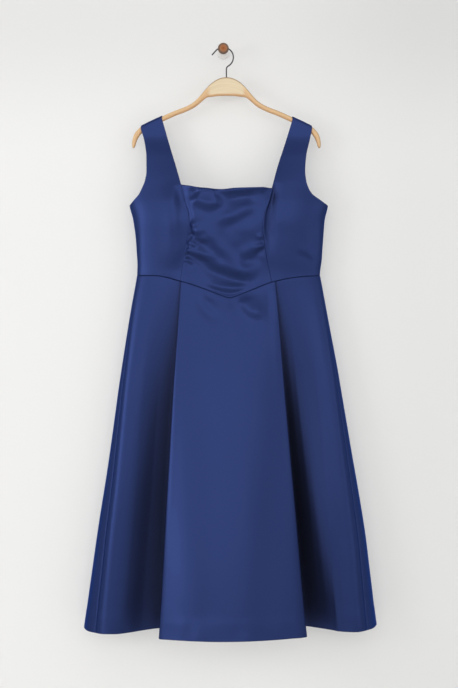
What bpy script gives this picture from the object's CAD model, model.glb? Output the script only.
# %% [markdown]
# # A satin dress on a wooden hanger
#
# The frame is a plain solid model of the whole object, made earlier: thin closed walls for the
# cloth, and simple solids for the zip, the hanger and the wall peg. This lesson gives it its
# looks. Each piece of cloth is made again as a finer shell on the same form, with its folds,
# seams and rolled edges, and takes the place of the plain wall. We load the frame first, and
# keep its box, because nothing that we make may grow past it.

# %% Load the frame
import math

import bpy
import numpy as np
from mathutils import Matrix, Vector, noise


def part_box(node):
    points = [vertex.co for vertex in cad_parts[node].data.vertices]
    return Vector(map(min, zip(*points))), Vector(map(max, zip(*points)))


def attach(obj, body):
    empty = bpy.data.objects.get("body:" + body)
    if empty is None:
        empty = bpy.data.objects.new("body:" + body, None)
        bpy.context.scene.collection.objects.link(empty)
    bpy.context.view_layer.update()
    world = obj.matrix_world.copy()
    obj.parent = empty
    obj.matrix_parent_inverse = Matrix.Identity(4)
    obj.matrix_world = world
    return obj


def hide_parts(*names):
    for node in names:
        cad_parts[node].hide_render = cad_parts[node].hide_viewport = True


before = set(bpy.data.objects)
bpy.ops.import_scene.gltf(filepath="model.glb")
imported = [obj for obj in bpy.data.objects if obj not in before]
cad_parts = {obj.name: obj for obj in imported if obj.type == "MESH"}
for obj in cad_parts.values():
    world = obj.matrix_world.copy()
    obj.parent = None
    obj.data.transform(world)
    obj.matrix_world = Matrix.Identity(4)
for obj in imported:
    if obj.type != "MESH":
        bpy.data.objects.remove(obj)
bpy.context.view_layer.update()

MM = 0.001


def size_of(node):
    """Size of a node's box in millimetres, as text."""
    low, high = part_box(node)
    return " x ".join(f"{(b - a) / MM:.1f}" for a, b in zip(low, high))


for name in ("bodice_center_front", "skirt_front", "hanger_body", "peg_cap"):
    print(name, size_of(name), "mm")

# %% [markdown]
# ## Where things are
#
# A dressmaker works from a few lines: the middle, the waist, the hem and the underarm. We read
# them from the frame instead of typing them in, so that the looks stay on the solids. All sizes
# are in millimetres from here on, as on a pattern sheet, and become metres at the end.

# %% Read the main lines from the frame


def low(node, axis):
    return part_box(node)[0][axis] / MM


def high(node, axis):
    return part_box(node)[1][axis] / MM


def middle(node, axis):
    return (low(node, axis) + high(node, axis)) / 2


DRESS_X = middle("zip_chain", 0)
HANGER_X = middle("hanger_body", 0)
HANGER_Y = middle("hanger_body", 1)
CROWN_Z = high("hanger_body", 2)
BACK_WAIST_Z = high("skirt_back_left", 2)
HEM_Z = low("skirt_front", 2)
print(f"middle of the dress {DRESS_X:.1f}, of the hanger {HANGER_X:.1f}")
print(f"plane of the hanger {HANGER_Y:.1f}, top of the crown {CROWN_Z:.1f}")
print(f"back waist {BACK_WAIST_Z:.1f}, hem {HEM_Z:.1f}")

# %% [markdown]
# ## Small helpers for curves
#
# Cloth has no hard numbers, it has curves. A table gives a few measured places, and a monotone
# cubic runs through them without overshooting. The helpers work on whole arrays at once, which
# is what makes a fine mesh quick to build.

# %% Curves and tables


def mix(a, b, share):
    return a + (b - a) * share


def smoothstep(start, end, value):
    share = np.clip((value - start) / (end - start), 0.0, 1.0)
    return share * share * (3.0 - 2.0 * share)


def cubic(s, start, start_slope, end, end_slope):
    """A cubic over s from 0 to 1, from its ends and its slopes there."""
    return (
        (2 * s**3 - 3 * s**2 + 1) * start
        + (s**3 - 2 * s**2 + s) * start_slope
        + (3 * s**2 - 2 * s**3) * end
        + (s**3 - s**2) * end_slope
    )


def read_table(table, column, key):
    """A column of a table at a key (its first column), along a monotone cubic."""
    rows = np.array(sorted(row[: column + 1] for row in table), float)
    keys, values = rows[:, 0], rows[:, column]
    step = np.diff(keys)
    slope = np.diff(values) / step
    before, after = slope[:-1], slope[1:]
    same_way = before * after > 0.0
    together = np.where(same_way, before + after, 1.0)
    inner = np.where(same_way, 2.0 * before * after / together, 0.0)
    tangent = np.concatenate((slope[:1], inner, slope[-1:]))
    key = np.clip(key, keys[0], keys[-1])
    i = np.clip(np.searchsorted(keys, key, side="right") - 1, 0, len(keys) - 2)
    s = (key - keys[i]) / step[i]
    return cubic(s, values[i], step[i] * tangent[i], values[i + 1], step[i] * tangent[i + 1])


def smooth_line(points, closed=False, spacing=3.0, measure=slice(None)):
    """Points along a smooth curve through the given rows, a few millimetres apart, and which of
    them are the rows. Measure names the columns that count as its length."""
    rows = np.array(points, float)
    count = len(rows)
    last = count if closed else count - 1
    runs = [rows[(i + 1) % count] - rows[i] for i in range(last)]
    lengths = [max(1e-6, float(np.linalg.norm(run[measure]))) for run in runs]

    def tangent(i):
        if not closed and i in (0, count - 1):
            k = 0 if i == 0 else last - 1
            return runs[k] / lengths[k]
        k, m = (i - 1) % last, i % last
        slope = runs[k] / lengths[k] * lengths[m] + runs[m] / lengths[m] * lengths[k]
        return slope / (lengths[k] + lengths[m])

    dense, knots = [], []
    for i in range(last):
        knots.append(len(dense))
        after = (i + 1) % count
        slopes = tangent(i) * lengths[i], tangent(after) * lengths[i]
        parts = max(1, round(lengths[i] / spacing))
        for s in np.arange(parts) / parts:
            dense.append(cubic(s, rows[i], slopes[0], rows[after], slopes[1]))
    if not closed:
        knots.append(len(dense))
        dense.append(rows[-1])
    return np.array(dense), knots


arch = smooth_line([(0, 0), (9, 6), (18, 0)])[0]
print("a smooth line through 3 points has", len(arch), "points")

# %% [markdown]
# ## The form of the bodice
#
# On a hanger the bodice is a lens: round at the sides and nearly flat in front and behind, and
# it thins out into the straps. The solids were made from these sections, so the same few rows
# give a surface that is as fine as we like and still lies on them.

# %% Sections and edges of the bodice

LENS_POWER = 2.2  # of the superellipse that gives the lens
LENS_FULL_Z, STRAP_FLAT_Z = -345.0, -190.0  # a full lens below, flat straps above
NECK_CORNER_Z = high("bodice_center_front", 2)
UNDERARM_Z = -360.0

# z, half width, sway of the middle, depth of the front and of the back from the hanger's plane
BODICE_SECTIONS = (
    (-575, 213, 0, 36, 30), (-519, 210, 0, 34, 30), (-480, 212, 2.5, 37, 30),
    (-436, 215, 2.5, 42, 30.5), (-393, 220, 1, 46, 31), (-356, 228.5, 0.5, 44, 31),
    (-313, 231, 0, 36, 27), (-250, 233, 0, 20, 17), (-195, 234, 0, 8.5, 8.5),
    (-140, 234, 0, 8.5, 8.5),
)

# z, left x, right x from the middle of the dress
PRINCESS_SEAM = (
    (-535, -110, 98), (-480, -102, 86.5), (-445, -95, 81.5), (-412, -89, 77),
    (-386, -90, 78.5), (-350, -100, 91), (-313, -108.5, 101),
)
STRAP_INNER_EDGE = (
    (-313, -108.5, 101), (-274, -119.4, 111.3), (-215, -137.1, 130.3), (-164, -151.8, 146),
    (-145, -158, 151.5),
)
ARMHOLE_EDGE = (
    (-360, -228, 229), (-348, -217, 210), (-334, -204.6, 190.5), (-319, -197, 181.6),
    (-306, -191.5, 177.5), (-283, -187.6, 174.9), (-248, -188, 177.5), (-212, -193, 185.5),
    (-178, -203, 192.5), (-160, -207, 196),
)

# x, z of the pointed waist seam in front, and of the neckline
FRONT_WAIST = (
    (-215, -519.5), (-168, -520.5), (-110, -533.5), (-56, -551), (-17, -566), (3, -571.5),
    (24, -565), (56, -552.5), (99, -536), (135, -527.5), (168, -523), (215, -519.5),
)
NECKLINE = (
    (-109, -313.5), (-55, -319), (-14, -325.5), (14, -323.5), (50, -322.5), (102, -321.5),
)


def section(column, z):
    return read_table(BODICE_SECTIONS, column, z)


def form_y(z, depth_share, front):
    """How far forward or back the form is, where the lens has the given share of its depth."""
    share = mix(1.0, depth_share, smoothstep(STRAP_FLAT_Z, LENS_FULL_Z, z))
    return HANGER_Y + share * (-section(3, z) if front else section(4, z))


def turn_at(x, z):
    out = np.clip(np.abs(x - section(2, z)) / section(1, z), 0.0, 1.0)
    return np.arcsin(out ** (LENS_POWER / 2))


def edge_x(table, side, z):
    return read_table(table, 1 if side < 0 else 2, z)


def inner_edge_x(side, z):
    seam, strap = edge_x(PRINCESS_SEAM, side, z), edge_x(STRAP_INNER_EDGE, side, z)
    return np.where(np.asarray(z) < NECK_CORNER_Z, seam, strap)


def outer_edge_x(side, z):
    side_seam = section(2, z) + side * section(1, z)
    return np.where(np.asarray(z) <= UNDERARM_Z, side_seam, edge_x(ARMHOLE_EDGE, side, z))


print(f"waist {2 * section(1, BACK_WAIST_Z):.0f} mm wide")
print(f"underarm {2 * section(1, UNDERARM_Z):.0f} mm wide")

# %% [markdown]
# ## Folds that are placed by hand
#
# Satin shows a fold as a light side and a dark side. Three kinds are enough here. A *lap* is a
# ridge with a hollow under it, so its face turns down into shade: that is how cloth laps over
# itself where it is gathered. A *ledge* rises in one soft step and fades out slowly above it, as
# the lower edge of a swag does, so it has one dark side and no more. A *ridge* or, with a negative
# height, a *trough* is the same on both sides. Each row of a table is one fold, with its own
# height, width and line, because no two folds of real cloth are alike.

# %% The height of a set of folds

LEDGE_STEEP = 1.5  # how quickly a ledge rises over its half width
LEDGE_FADE = 3.5  # half widths over which it fades out above


def nearest_on(line, x, z):
    """Distance to a line, which side of it (+1 is left of its run), and the share along it."""
    distance = np.full(x.shape, np.inf)
    side, share = np.zeros(x.shape), np.zeros(x.shape)
    runs = len(line) - 1
    for k in range(runs):
        start, run = line[k], line[k + 1] - line[k]
        t = ((x - start[0]) * run[0] + (z - start[1]) * run[1]) / (run @ run)
        t = np.clip(t, 0.0, 1.0)
        away_x, away_z = x - start[0] - t * run[0], z - start[1] - t * run[1]
        here = np.hypot(away_x, away_z)
        nearer = here < distance
        distance = np.where(nearer, here, distance)
        side = np.where(nearer, np.sign(run[0] * away_z - run[1] * away_x), side)
        share = np.where(nearer, (k + t) / runs, share)
    return distance, side, share


def fold_height(x, z, folds):
    """Height of the cloth at x, z. A fold is: kind, height, half width at its start and end,
    share of its length over which it rises at its start and dies out at its end, and points."""
    height = np.zeros(x.shape)
    for kind, rise, width_start, width_end, fade_in, fade_out, points in folds:
        line = smooth_line(points, spacing=4.0)[0]
        distance, side, share = nearest_on(line, x, z)
        q = distance / mix(width_start, width_end, share)
        if kind == "lap":
            form = side * q * np.exp(0.5 * (1.0 - q * q))
        elif kind == "ledge":
            above = np.maximum(side * q, 0.0) / LEDGE_FADE
            form = (0.5 + 0.5 * np.tanh(LEDGE_STEEP * side * q)) * np.exp(-above * above)
        else:
            form = np.exp(-q * q)
        for fade, from_end in ((fade_in, share), (fade_out, 1.0 - share)):
            if fade:
                form = form * smoothstep(0.0, fade, from_end)
        height += rise * form
    return height


def uneven(points, size, depth, seed):
    """A soft unevenness: depth times a smooth noise whose bumps have the given size."""
    shift = Vector((seed * 7.3, seed * 3.1, seed * 5.7))
    flat = points.reshape(-1, 3) / np.array(size)
    values = [noise.noise(Vector(p) + shift) for p in flat]
    return depth * np.array(values).reshape(points.shape[:-1])


def free_of_seams(share, width):
    """0 at both ends of a run and 1 where it is free of its seams by that share of the run."""
    return smoothstep(0.0, width, share) * smoothstep(0.0, width, 1.0 - share)


across = np.array([-8.0, 0.0, 8.0])
for kind in ("lap", "ledge", "ridge"):
    heights = fold_height(across * 0, across, [(kind, 3, 8, 8, 0, 0, ((-20, 0), (20, 0)))])
    print("heights across a", kind, heights.round(2))

# %% [markdown]
# ## From a grid of points to a piece of cloth
#
# Every piece of cloth here is a grid of points with a thin wall behind it. At a seam the cloth
# turns in, so the edge rolls under by a millimetre or two, and that small roll is what makes a
# seam read as a fine dark line. The grid gets extra rows close to its edges to hold the roll.
# The piece keeps its own flat coordinates as a UV map in metres, so that the weave follows it.

# %% Grids, their normals and their edges


def spread(size, spacing, near=(0.0, 0.35, 0.9, 1.7, 2.8)):
    """Shares from 0 to 1 for a run of that size, evenly spaced with extra ones at the ends."""
    edge = np.array(near) / size
    inner = np.linspace(edge[-1], 1.0 - edge[-1], max(2, round(size / spacing)))
    return np.concatenate((edge[:-1], inner, 1.0 - edge[-2::-1]))


def normals_of(points, face):
    """Unit normals of a grid. Face says whether they look to the back (+1) or the front (-1)."""
    normal = np.cross(np.gradient(points, axis=1), np.gradient(points, axis=0))
    normal /= np.linalg.norm(normal, axis=2, keepdims=True) + 1e-12
    return normal * (1.0 if normal[..., 1].mean() * face > 0.0 else -1.0)


def raised(points, face, height):
    return points + normals_of(points, face) * height[..., None]


def lengths_along(points, axis):
    steps = np.linalg.norm(np.diff(points, axis=axis), axis=2)
    shape = list(points.shape[:2])
    shape[axis] = 1
    return np.concatenate((np.zeros(shape), np.cumsum(steps, axis=axis)), axis=axis)


def roll_depth(points, rolls):
    """How far each point sinks: rolls gives the radius at the left, right, low and high edge."""
    across, up = lengths_along(points, 1), lengths_along(points, 0)
    distances = (across, across[:, -1:] - across, up, up[-1:] - up)
    depth = np.zeros(points.shape[:2])
    for radius, distance in zip(rolls, distances):
        if radius:
            share = np.clip(1.0 - distance / radius, 0.0, 1.0)
            depth = np.maximum(depth, radius * (1.0 - np.sqrt(1.0 - share * share)))
    return depth


print("a run of 250 mm has", len(spread(250.0, 1.9)), "points, 1.9 mm apart and closer at its ends")

# %% Build a thin shell

CLOTH = 0.9  # thickness of the shell


def new_piece(name, corners, faces, map_name, flat, material):
    """An object from its corners, faces and flat coordinates, all given in millimetres."""
    mesh = bpy.data.meshes.new(name)
    mesh.from_pydata((corners * MM).tolist(), [], faces)
    layer = mesh.uv_layers.new(name=map_name)
    order = np.empty(len(mesh.loops), np.int32)
    mesh.loops.foreach_get("vertex_index", order)
    layer.data.foreach_set("uv", (flat[order] * MM).astype(np.float32).ravel())
    mesh.materials.append(material)
    piece = bpy.data.objects.new(name, mesh)
    bpy.context.scene.collection.objects.link(piece)
    return piece


def hand_over(piece, body, node):
    """Tells the frame which body the piece rides on, what it stands for and its finish."""
    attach(piece, body)
    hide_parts(node)


def shell(name, node, points, face, material, rolls=(0, 0, 0, 0)):
    """Makes the object: the grid, the same grid moved inwards, and the rims between them."""
    normal = normals_of(points, face)
    outer = points - normal * roll_depth(points, rolls)[..., None]
    inner = outer - normal * CLOTH
    rows, columns = points.shape[:2]
    number = np.arange(rows * columns).reshape(rows, columns)
    a, b, c, d = number[:-1, :-1], number[:-1, 1:], number[1:, 1:], number[1:, :-1]
    quads = np.stack((a, b, c, d), axis=-1).reshape(-1, 4)
    back = quads[:, ::-1] + rows * columns
    rim = np.concatenate((number[0], number[1:, -1], number[-1, -2::-1], number[-2:0:-1, 0]))
    after = np.roll(rim, -1)
    edges = np.stack((after, rim, rim + rows * columns, after + rows * columns), axis=-1)
    faces = np.concatenate((quads, back, edges))
    first, second = outer[0, 1] - outer[0, 0], outer[1, 0] - outer[0, 0]
    if np.cross(first, second) @ normal[0, 0] < 0.0:
        faces = faces[:, ::-1]
    corners = np.concatenate((outer.reshape(-1, 3), inner.reshape(-1, 3)))
    u, v = lengths_along(points, 1), lengths_along(points, 0)
    flat = np.stack((u - u[:, -1:] / 2, v), axis=-1).reshape(-1, 2)
    flat = np.concatenate((flat, flat))
    piece = new_piece(name, corners, faces.tolist(), "cloth", flat, material)
    piece.data.shade_smooth()
    hand_over(piece, "dress", node)
    print(f"{name}: {2 * len(faces)} triangles, {u[:, -1].max():.0f} x {v[-1].max():.0f} mm")
    return piece


print(f"the cloth is {CLOTH} mm thick")

# %% [markdown]
# ## Heavy navy satin
#
# Duchess satin has long floats of fine thread on its face. From afar it is smooth and deep blue,
# with a broad sheen that is brighter and bluer where the cloth turns away from us, and it goes
# dark and dull deep in a pleat, where it sees only itself. Close up the floats show as fine
# upright streaks. We mix two blues by a large soft noise and lift the colour at grazing angles
# with a Layer Weight node. An Ambient Occlusion node finds the hidden places, and streaks on the
# UV map touch the roughness and the bump.

# %% Nodes for all finishes


def new_material(name):
    material = bpy.data.materials.new(name)
    material.use_nodes = True
    tree = material.node_tree
    return material, tree, tree.nodes["Principled BSDF"]


def feed(tree, node, inputs):
    """Gives a node its inputs: another node's socket is linked, a plain value is set."""
    for key, value in dict(inputs).items():
        if isinstance(value, bpy.types.NodeSocket):
            tree.links.new(value, node.inputs[key])
        else:
            node.inputs[key].default_value = value
    return node


def add_node(tree, kind, inputs=(), **settings):
    node = tree.nodes.new("ShaderNode" + kind)
    for key, value in settings.items():
        setattr(node, key, value)
    return feed(tree, node, inputs)


def mix_colors(tree, factor, a, b, blend="MIX"):
    a, b = ((*color, 1.0) if isinstance(color, tuple) else color for color in (a, b))
    node = add_node(tree, "Mix", data_type="RGBA", blend_type=blend)
    return feed(tree, node, {0: factor, 6: a, 7: b}).outputs[2]


def ranged(tree, value, low_out, high_out, low_in=0.0, high_in=1.0, **settings):
    """A Map Range node's result: the value, moved from one range to another."""
    inputs = {
        "Value": value,
        "From Min": low_in,
        "From Max": high_in,
        "To Min": low_out,
        "To Max": high_out,
    }
    return add_node(tree, "MapRange", inputs, **settings).outputs[0]


def calculate(tree, operation, *values):
    """A Math node's result."""
    return add_node(tree, "Math", enumerate(values), operation=operation).outputs[0]


def object_place(tree):
    return add_node(tree, "TexCoord").outputs["Object"]


def flat_place(tree, map_name):
    return add_node(tree, "UVMap", uv_map=map_name).outputs["UV"]


def spots(tree, place, size, detail):
    """A noise from 0 to 1. Size is its spots in a metre, one number or one for each axis."""
    if isinstance(size, tuple):
        place = add_node(tree, "Mapping", {"Vector": place, "Scale": size}).outputs[0]
        size = 1.0
    inputs = {"Vector": place, "Scale": size, "Detail": detail}
    return add_node(tree, "TexNoise", inputs).outputs["Fac"]


def finish(tree, shader, inputs, relief, strength, depth=0.2):
    """Feeds the shader, with a bump that is depth millimetres deep at a strength of 1."""
    bump = add_node(tree, "Bump", {"Height": relief, "Strength": strength, "Distance": depth * MM})
    feed(tree, shader, {**inputs, "Normal": bump.outputs[0]})


# %% The satin

# two blues of the cloth, its streaks, its sheen at grazing angles and its depths
SATIN_DEEP, SATIN_BLUE = (0.0197, 0.0325, 0.1135), (0.0228, 0.0378, 0.1265)
SATIN_STREAK = (0.025, 0.041, 0.1375)
SATIN_SHEEN = (0.038, 0.064, 0.188)
SATIN_HIDDEN = (0.028, 0.032, 0.066)
HIDDEN_REACH = 0.15  # metres within which cloth hides cloth
HIDDEN_ROUGHNESS = 0.75


def make_satin():
    material, tree, shader = new_material("navy_satin")
    cloud = spots(tree, object_place(tree), 7.0, 3.0)
    floats = spots(tree, flat_place(tree, "cloth"), (2600.0, 120.0, 1.0), 2.0)
    color = mix_colors(tree, cloud, SATIN_DEEP, SATIN_BLUE)
    color = mix_colors(tree, floats, color, SATIN_STREAK)
    facing = add_node(tree, "LayerWeight", {"Blend": 0.35}).outputs["Facing"]
    color = mix_colors(tree, calculate(tree, "POWER", facing, 2.2), color, SATIN_SHEEN)
    reach = {"Distance": HIDDEN_REACH}
    hidden = add_node(tree, "AmbientOcclusion", reach, samples=8, only_local=True)
    open_share = ranged(tree, hidden.outputs["AO"], 0.0, 1.0, 0.3, 0.92)
    inputs = {
        "Base Color": mix_colors(tree, open_share, SATIN_HIDDEN, color),
        "Roughness": ranged(tree, open_share, HIDDEN_ROUGHNESS, ranged(tree, floats, 0.38, 0.46)),
        "Metallic": 0.9,
        "Specular IOR Level": 0.3,
        "Specular Tint": (0.3, 0.42, 0.9, 1.0),
    }
    finish(tree, shader, inputs, floats, 0.12)
    return material


satin = make_satin()
print("satin:", len(satin.node_tree.nodes), "nodes")

# %% [markdown]
# ## The draped centre front
#
# This panel is cut wider than its place and eased into the two princess seams, so it hangs in
# soft swags between them: one deep swag under the neckline, a fan of short gathers low on the
# left seam, and a long diagonal ridge that runs down to the right. We build the flat form and
# lay the folds on it.

# %% Rows of the bodice

SIDE_ROWS = (
    (-508, -496), (-482, -472), (-458, -448), (-434, -424), (-412, -402), (-390, -380),
    (-370, UNDERARM_Z),
    (-350, -345), (-331, -334), (-313, -321), (-294, -306), (-268, -283), (-240, -256),
    (-210, -228), (-184, -205),
)
NECK_ROW = {"front": 10, "back": 9}
LAST_ROW = len(SIDE_ROWS) + 1
SIDES = ((-1, "left"), (1, "right"))

# x and z of the top of the arm, out from the hanger's middle and down from the crown
ARM_TOP = (
    (53.8, -35.8), (63.7, -46.3), (76.2, -57.8), (92.3, -66.8), (119.9, -77.7),
    (152.3, -92.1), (182.6, -106.3), (199.9, -116), (211.4, -129.9),
)
STRAP_LIFT = 2.2  # from the top of the arm to the top of the strap
STRAP_ROLL = 8.5  # radius with which the strap turns over the arm
STRAP_ROLL_POWER = 0.7  # under 1, because the strap turns squarely
STRAP_INNER_TOP_Z, STRAP_OUTER_TOP_Z = -163.0, -186.0  # where its edges are read at the top


def waist_z(x, front):
    return read_table(FRONT_WAIST, 1, x) if front else BACK_WAIST_Z + 0.0 * x


def roll_start_z(x):
    top = CROWN_Z + read_table(ARM_TOP, 1, np.abs(DRESS_X + x - HANGER_X))
    return top + STRAP_LIFT - STRAP_ROLL


def princess_foot(side, front):
    """x and z where the princess seam meets the waist, found by going to and fro between them."""
    z = BACK_WAIST_Z
    for _ in range(4 if front else 0):
        z = float(waist_z(edge_x(PRINCESS_SEAM, side, z), True))
    return float(edge_x(PRINCESS_SEAM, side, z)), z


def side_heights(side, front):
    """Row, inner and outer height of a side panel, from the waist to the strap's roll."""
    top_in = float(roll_start_z(inner_edge_x(side, STRAP_INNER_TOP_Z)))
    top_out = float(roll_start_z(outer_edge_x(side, STRAP_OUTER_TOP_Z)))
    rows = ((princess_foot(side, front)[1], BACK_WAIST_Z),) + SIDE_ROWS + ((top_in, top_out),)
    return tuple((k, *row) for k, row in enumerate(rows))


for side, word in SIDES:
    x, z = princess_foot(side, True)
    print(f"foot of the {word} princess seam: {x:.1f}, {z:.1f}")

# %% The form of the centre front


def centre_front(u, v):
    """Points of the panel: u runs from the left seam to the right one, v up from the waist."""
    rows = {side: side_heights(side, True) for side, _ in SIDES}
    row = v * NECK_ROW["front"]
    z_left, z_right = read_table(rows[-1], 1, row), read_table(rows[1], 1, row)
    x = mix(edge_x(PRINCESS_SEAM, -1, z_left), edge_x(PRINCESS_SEAM, 1, z_right), u)
    feet = [princess_foot(side, True) for side, _ in SIDES]
    foot_z = waist_z(mix(feet[0][0], feet[1][0], u), True)
    neck_z = read_table(NECKLINE, 1, mix(NECKLINE[0][0], NECKLINE[-1][0], u))
    z = mix(z_left, z_right, u)
    z = z + (1.0 - v) * (foot_z - mix(feet[0][1], feet[1][1], u)) + v * (neck_z - NECKLINE[0][1])
    y = form_y(z, np.cos(turn_at(x, z)), True)
    return np.stack((DRESS_X + x, y, z), axis=-1)


# z, how deep the left princess seam lies in a hollow
SEAM_HOLLOW = (
    (-535, 0), (-505, 1.8), (-460, 4.6), (-400, 5.6), (-345, 4.8), (-316, 0),
)
HOLLOW_OUTSIDE, HOLLOW_INSIDE = 14.0, 9.0  # its half width on either side of the seam


def sink_seam(points):
    """Moves the cloth on both sides of the left princess seam back, most of all at the seam."""
    x, z = points[..., 0] - DRESS_X, points[..., 2]
    away = edge_x(PRINCESS_SEAM, -1, z) - x
    q = away / np.where(away > 0.0, HOLLOW_OUTSIDE, HOLLOW_INSIDE)
    points[..., 1] += read_table(SEAM_HOLLOW, 1, z) * np.exp(-q * q)
    return points


u, v = np.meshgrid(spread(215.0, 1.9), spread(250.0, 1.9))
panel = sink_seam(centre_front(u, v))
print("grid of the centre front:", panel.shape[0], "x", panel.shape[1], "points")

# %% [markdown]
# ## The swags
#
# The cloth is longer than the panel, so it sags: the neckline drops between its corners and leans
# forward, softly on the left and in a lip that grows towards the edge on the right. Under it the
# folds follow the pull from seam to seam. All of them die out before they reach a seam.

# %% The folds of the centre front

# kind, height, half width at the start and end, fade at the start and end, points x, z
DRAPE_FOLDS = (
    ("ledge", 6.2, 12, 13, 0.2, 0.3,
     ((-90, -346), (-68, -361), (-43, -368), (-23, -363), (-2, -350))),
    ("lap", 2.2, 10, 11, 0.3, 0.3, ((-14, -347), (8, -338), (40, -333), (66, -331))),
    ("lap", 1.5, 11, 13, 0.3, 0.35, ((-30, -409), (8, -396), (46, -377), (72, -362))),
    ("ridge", 2.6, 15, 17, 0.12, 0.2,
     ((-84, -392), (-43, -432), (-11, -467), (18, -493), (50, -509), (75, -518))),
    ("lap", 1.5, 5, 7, 0.2, 0.5, ((-94, -407), (-82, -412), (-68, -414))),
    ("lap", 2.2, 6, 8, 0.15, 0.5, ((-92, -420), (-70, -429), (-54, -433))),
    ("lap", 1.8, 5, 8, 0.2, 0.5, ((-84, -436), (-56, -445), (-40, -451))),
    ("lap", 1.6, 5, 8, 0.15, 0.5, ((-100, -449), (-88, -453), (-64, -460))),
    ("lap", 3, 7, 11, 0.1, 0.5, ((-102, -466), (-86, -471), (-66, -479), (-42, -486), (-14, -489))),
    ("lap", 1.4, 4, 7, 0, 0.5, ((-102, -487), (-90, -491), (-74, -499))),
    ("lap", 2.6, 11, 12, 0.3, 0.3, ((-74, -486), (-42, -499), (-12, -511), (22, -523), (70, -530))),
    ("lap", 1.5, 7, 8, 0.3, 0.3, ((-62, -540), (-20, -554), (20, -556), (56, -544))),
    ("lap", 1.6, 7, 4, 0.6, 0, ((64, -444), (77, -437), (84, -434))),
    ("lap", 2.2, 8, 5, 0.6, 0, ((50, -468), (70, -462), (86, -454))),
    ("lap", 1.6, 13, 12, 0.3, 0.3, ((20, -484), (44, -478), (74, -466))),
)
FOLD_GAIN = 1.3  # on the heights of the table

# share of the way from the left corner of the neckline to the right one, how far it sags
NECK_SAG = (
    (0, 0.5), (0.08, 3.4), (0.2, 5.6), (0.44, 3), (0.63, 3.5), (0.86, 3.5), (1, 1.2),
)
SAG_START = 0.78  # share of the panel's height above which it sags

# share of the panel's height where a lean starts, how far forward it goes, power of its growth
SOFT_LEAN = ((0.84, 5.2), (0.92, 2.8))
LIP_LEAN = ((0.82, 7.4, 1.4), (0.91, 4.0, 2.0))
SOFT_END, LIP_START = 0.35, 0.65  # shares of the width: soft on the left, the lip on the right
RIPPLE, RIPPLE_TURN = 0.5, 41.0  # height of the neckline's ripple, and radians from seam to seam

panel[..., 2] -= read_table(NECK_SAG, 1, u) * smoothstep(SAG_START, 1.0, v)
x, z = panel[..., 0] - DRESS_X, panel[..., 2]
free = free_of_seams(u, 0.03) * smoothstep(0.0, 0.035, v) * smoothstep(0.0, 0.03, 1.0 - v)
height = free * (FOLD_GAIN * fold_height(x, z, DRAPE_FOLDS) + uneven(panel, (38, 38, 26), 0.7, 1))
soft = sum(far * smoothstep(start, 1.0, v) for start, far in SOFT_LEAN)
lip = 0.0
for start, far, power in LIP_LEAN:
    lip += far * np.clip((v - start) / (1.0 - start), 0.0, 1.0) ** power
height += mix(soft, lip, smoothstep(SOFT_END, LIP_START, u)) * free_of_seams(u, 0.12)
height += RIPPLE * smoothstep(0.97, 1.0, v) * np.sin(u * RIPPLE_TURN) * free
panel = raised(panel, -1, height)
rolls = (0.45, 0.45, 1.1, 1.6)
front = shell("bodice_front_drape", "bodice_center_front", panel, -1, satin, rolls=rolls)

# %% [markdown]
# ## Side fronts, side backs and their straps
#
# A side front is one piece from the waist to the top of the shoulder, where it lies over the
# hanger's arm and meets the back. It hangs nearly flat. What shows is the hollow and a furrow
# beside the princess seam, where the seam draws the cloth in, and a slight bend where the strap
# leaves the bust.

# %% The form of a side panel

STRAP_TURN_ROWS = (0.12, 0.25, 0.4, 0.55, 0.7, 0.85, 0.97)  # shares of its quarter turn


def side_panel(side, front):
    """Points of a side panel. v counts rows, and past the last one it turns over the arm."""
    rows = side_heights(side, front)
    up = np.concatenate((spread(400.0, 3.0) * LAST_ROW, LAST_ROW + np.array(STRAP_TURN_ROWS)))
    u, v = np.meshgrid(spread(120.0, 3.4), up)
    row = np.minimum(v, LAST_ROW)
    z_in, z_out = read_table(rows, 1, row), read_table(rows, 2, row)
    x_in, x_out = inner_edge_x(side, z_in), outer_edge_x(side, z_out)
    turn = mix(turn_at(x_in, z_out), turn_at(x_out, z_out), u)
    x = section(2, z_out) + side * section(1, z_out) * np.abs(np.sin(turn)) ** (2 / LENS_POWER)
    z = mix(z_in, z_out, (x - x_in) / (x_out - x_in))
    z = z + np.clip(1.0 - v, 0.0, 1.0) * (waist_z(x[0], front) - z[0])
    y = form_y(z, np.cos(turn), front)
    roll = np.clip(v - LAST_ROW, 0.0, 1.0) * math.pi / 2
    over = v > LAST_ROW
    reach, rise = np.cos(roll) ** STRAP_ROLL_POWER, np.sin(roll) ** STRAP_ROLL_POWER
    y = np.where(over, HANGER_Y + STRAP_ROLL * reach * (-1 if front else 1), y)
    z = np.where(over, roll_start_z(x) + STRAP_ROLL * rise, z)
    return np.stack((DRESS_X + x, y, z), axis=-1), u, v


points = side_panel(1, True)[0]
print("grid of a side panel:", points.shape[0], "x", points.shape[1], "points")
print(f"top of its strap {points[..., 2].max():.1f}")

# %% The folds of the side panels

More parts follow.
